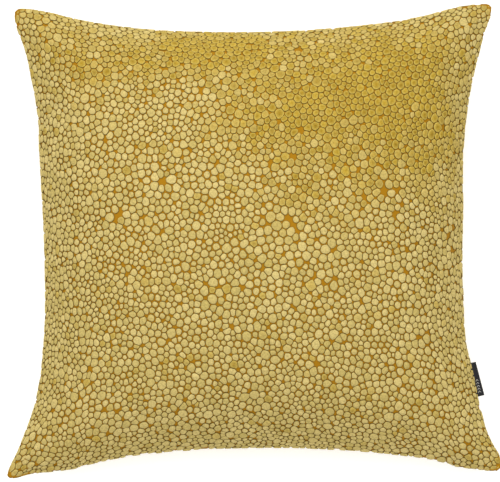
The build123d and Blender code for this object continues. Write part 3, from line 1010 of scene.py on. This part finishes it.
for name, grid, side, seed in (("front", front_grid, 1, 11), ("back", back_grid, -1, 23)):
    piles = pile(f"{name}_pile", grid, side, seed)
    for half in piles:
        place_piece(half, "cover", "cover_velvet", PILE_CLOTH)
    panel = panel_piece(f"{name}_cloth", grid, side)
    place_piece(panel, "cover", "cover_velvet", GROUND, f"{name}_panel")
    facing = zip_facing(f"zip_facing_{name}", side, FRONT_CROWN if side > 0 else BACK_CROWN)
    place_piece(facing, "cover", "cover_velvet", GROUND)
    place_piece(zip_tape(f"tape_{name}", side), "cover", "zip_tape", TAPE, f"zip_tape_{name}")
    place_piece(zip_teeth(f"teeth_{name}", side), "cover", "zip_teeth", NYLON, f"zip_teeth_{name}")

pad = closed_body("pad_cover", front_grid, back_grid, 14.5 * MM, 0.4 * MM, 5)
place_piece(pad, "cover", "pad_cloth", PAD_CLOTH, "pad_casing_front", "pad_casing_back")
fibre = closed_body("pad_fibre", front_grid, back_grid, 16.5 * MM, 1.6 * MM, 9)
place_piece(fibre, "cover", "pad_fibre", PAD_FIBRE, "pad_filling")

label = place_piece(woven_label(), "cover", "label_weave", LABEL_CLOTH, "woven_label")
care = place_piece(care_label(back_grid), "cover", "care_tape", CARE_CLOTH, "care_label")

FINISHES = {
    "sewing_thread": THREAD, "zip_metal": BRASS, "pad_thread": PAD_CLOTH,
    "label_weave": LABEL_CLOTH, "care_tape": CARE_CLOTH, "zip_tape": TAPE, "zip_teeth": NYLON,
    "cover_velvet": GROUND, "pad_cloth": PAD_CLOTH, "pad_fibre": PAD_FIBRE,
}
for subpart in frame["record"]["subparts"]:
    node = frame["nodes"][subpart["node"]]
    node.data.materials.clear()
    node.data.materials.append(FINISHES[subpart["material_slot"]])


# ---------------------------------------------------------------- stage, light and camera

def floor():
    """Plain pale floor under the pillow."""
    size = 6.0
    corners = [(-size, -size, 0), (size, -size, 0), (size, size, 0), (-size, size, 0)]
    piece = new_mesh("floor", np.array(corners), [np.array([[0, 1, 2, 3]])])
    n = Nodes("pale_floor")
    n.shader.inputs["Base Color"].default_value = (0.9, 0.9, 0.9, 1)
    n.shader.inputs["Emission Color"].default_value = (1, 1, 1, 1)
    n.shader.inputs["Emission Strength"].default_value = 0.45
    piece.data.materials.append(n.finish(0.9, specular=0.1))


def soft_light(name, place, size, power):
    """Square soft light aimed at the pillow."""
    light = bpy.data.lights.new(name, "AREA")
    light.size = size
    light.energy = power
    lamp = bpy.data.objects.new(name, light)
    lamp.location = place
    lamp.rotation_euler = (Vector((0, 0, SEAM_Z)) - Vector(place)).to_track_quat("-Z", "Y").to_euler()
    bpy.context.scene.collection.objects.link(lamp)


def studio():
    """White surroundings, a large soft light overhead and a weaker one beyond the top edge."""
    world = bpy.data.worlds.new("studio")
    world.use_nodes = True
    tree = world.node_tree
    light = tree.nodes["Background"]
    light.inputs[0].default_value = (1, 1, 1, 1)
    light.inputs[1].default_value = 0.45
    backdrop = tree.nodes.new("ShaderNodeBackground")
    backdrop.inputs[0].default_value = (1, 1, 1, 1)
    rays = tree.nodes.new("ShaderNodeLightPath")
    blend = tree.nodes.new("ShaderNodeMixShader")
    tree.links.new(rays.outputs["Is Camera Ray"], blend.inputs[0])
    tree.links.new(light.outputs[0], blend.inputs[1])
    tree.links.new(backdrop.outputs[0], blend.inputs[2])
    tree.links.new(blend.outputs[0], tree.nodes["World Output"].inputs[0])
    bpy.context.scene.world = world
    soft_light("overhead", (0.0, 0.2, 2.6), 1.4, 34)
    soft_light("upper", (-0.3, 1.7, 1.5), 1.0, 14)


def camera():
    """Camera square over the front panel."""
    distance = 2.2
    seen_width = 0.4635
    data = bpy.data.cameras.new("camera")
    data.sensor_width = 36
    data.lens = data.sensor_width * distance / seen_width
    view = bpy.data.objects.new("camera", data)
    view.location = (-2.3 * MM, -0.5 * MM, SEAM_Z + distance)
    bpy.context.scene.collection.objects.link(view)
    bpy.context.scene.camera = view


floor()
studio()
camera()
bpy.context.scene.view_settings.view_transform = "Standard"
